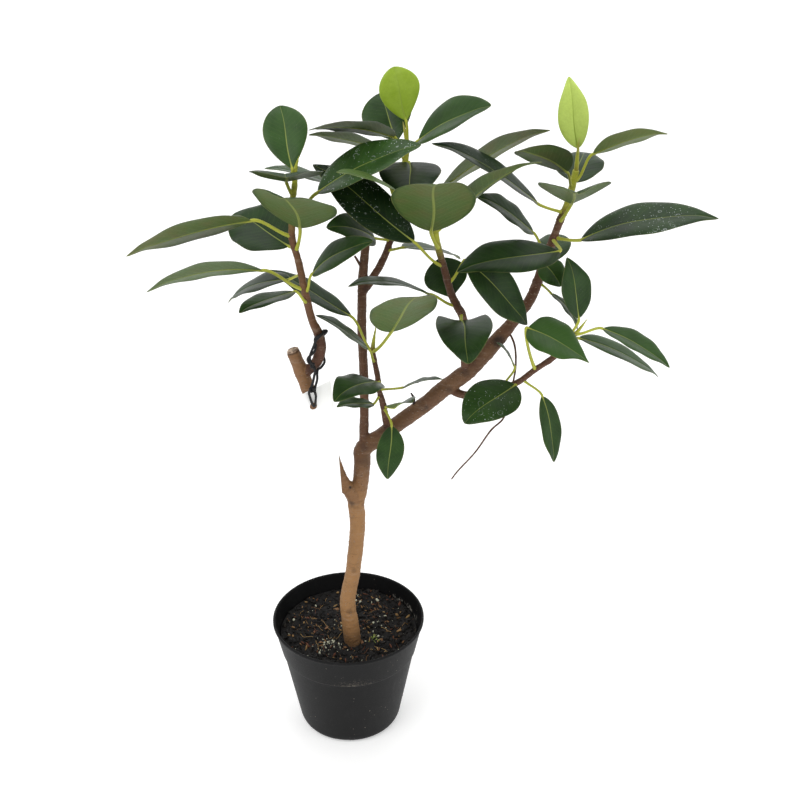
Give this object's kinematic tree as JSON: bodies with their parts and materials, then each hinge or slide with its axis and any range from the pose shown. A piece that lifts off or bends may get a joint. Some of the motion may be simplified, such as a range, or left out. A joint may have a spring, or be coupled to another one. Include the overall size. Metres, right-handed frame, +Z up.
{
  "type": "potted fig tree",
  "caption": "Small potted fig tree with a bent woody stem, pruned limbs and broad leathery leaves, in a round nursery pot, with a blank hang tag.",
  "frame": {"origin": "middle of the pot's underside, where it stands on the floor", "axes": "+Z up, front toward -Y, the longest limb leans toward +X"},
  "size_m": [0.3862, 0.1603, 0.5211],
  "materials": {
    "pot_plastic": "matte",
    "soil": "matte",
    "bark": "matte",
    "leaf_green": "satin",
    "leaf_young": "satin",
    "tag_paper": "matte",
    "tag_elastic": "matte"
  },
  "bodies": {
    "root": {"hang_tag": "tag_paper", "leaf_centre_01": "leaf_young", "leaf_centre_02": "leaf_green", "leaf_centre_03": "leaf_green", "leaf_centre_04": "leaf_green", "leaf_centre_05": "leaf_green", "leaf_centre_06": "leaf_green", "leaf_centre_07": "leaf_green", "leaf_centre_08": "leaf_green", "leaf_centre_09": "leaf_green", "leaf_fork_01": "leaf_green", "leaf_fork_02": "leaf_green", "leaf_fork_03": "leaf_green", "leaf_fork_04": "leaf_green", "leaf_fork_05": "leaf_green", "leaf_fork_06": "leaf_green", "leaf_fork_07": "leaf_green", "leaf_left_01": "leaf_green", "leaf_left_02": "leaf_green", "leaf_left_03": "leaf_green", "leaf_left_04": "leaf_green", "leaf_left_05": "leaf_green", "leaf_left_06": "leaf_green", "leaf_left_07": "leaf_green", "leaf_left_08": "leaf_green", "leaf_left_09": "leaf_green", "leaf_left_10": "leaf_green", "leaf_low_01": "leaf_green", "leaf_low_02": "leaf_green", "leaf_low_03": "leaf_green", "leaf_low_04": "leaf_green", "leaf_low_05": "leaf_green", "leaf_low_06": "leaf_green", "leaf_low_07": "leaf_green", "leaf_low_08": "leaf_green", "leaf_mid_01": "leaf_green", "leaf_mid_02": "leaf_green", "leaf_mid_03": "leaf_green", "leaf_mid_04": "leaf_green", "leaf_mid_05": "leaf_green", "leaf_mid_06": "leaf_green", "leaf_mid_07": "leaf_green", "leaf_mid_08": "leaf_green", "leaf_mid_09": "leaf_green", "leaf_right_01": "leaf_green", "leaf_right_02": "leaf_young", "leaf_right_03": "leaf_green", "leaf_right_04": "leaf_green", "leaf_right_05": "leaf_green", "leaf_right_06": "leaf_green", "leaf_right_07": "leaf_green", "leaf_right_08": "leaf_green", "leaf_right_09": "leaf_green", "leaf_right_10": "leaf_green", "leaf_right_11": "leaf_green", "leaf_right_12": "leaf_green", "nursery_pot": "pot_plastic", "potting_soil": "soil", "tag_string": "tag_elastic", "woody_stem": "bark"}
  },
  "joints": []
}
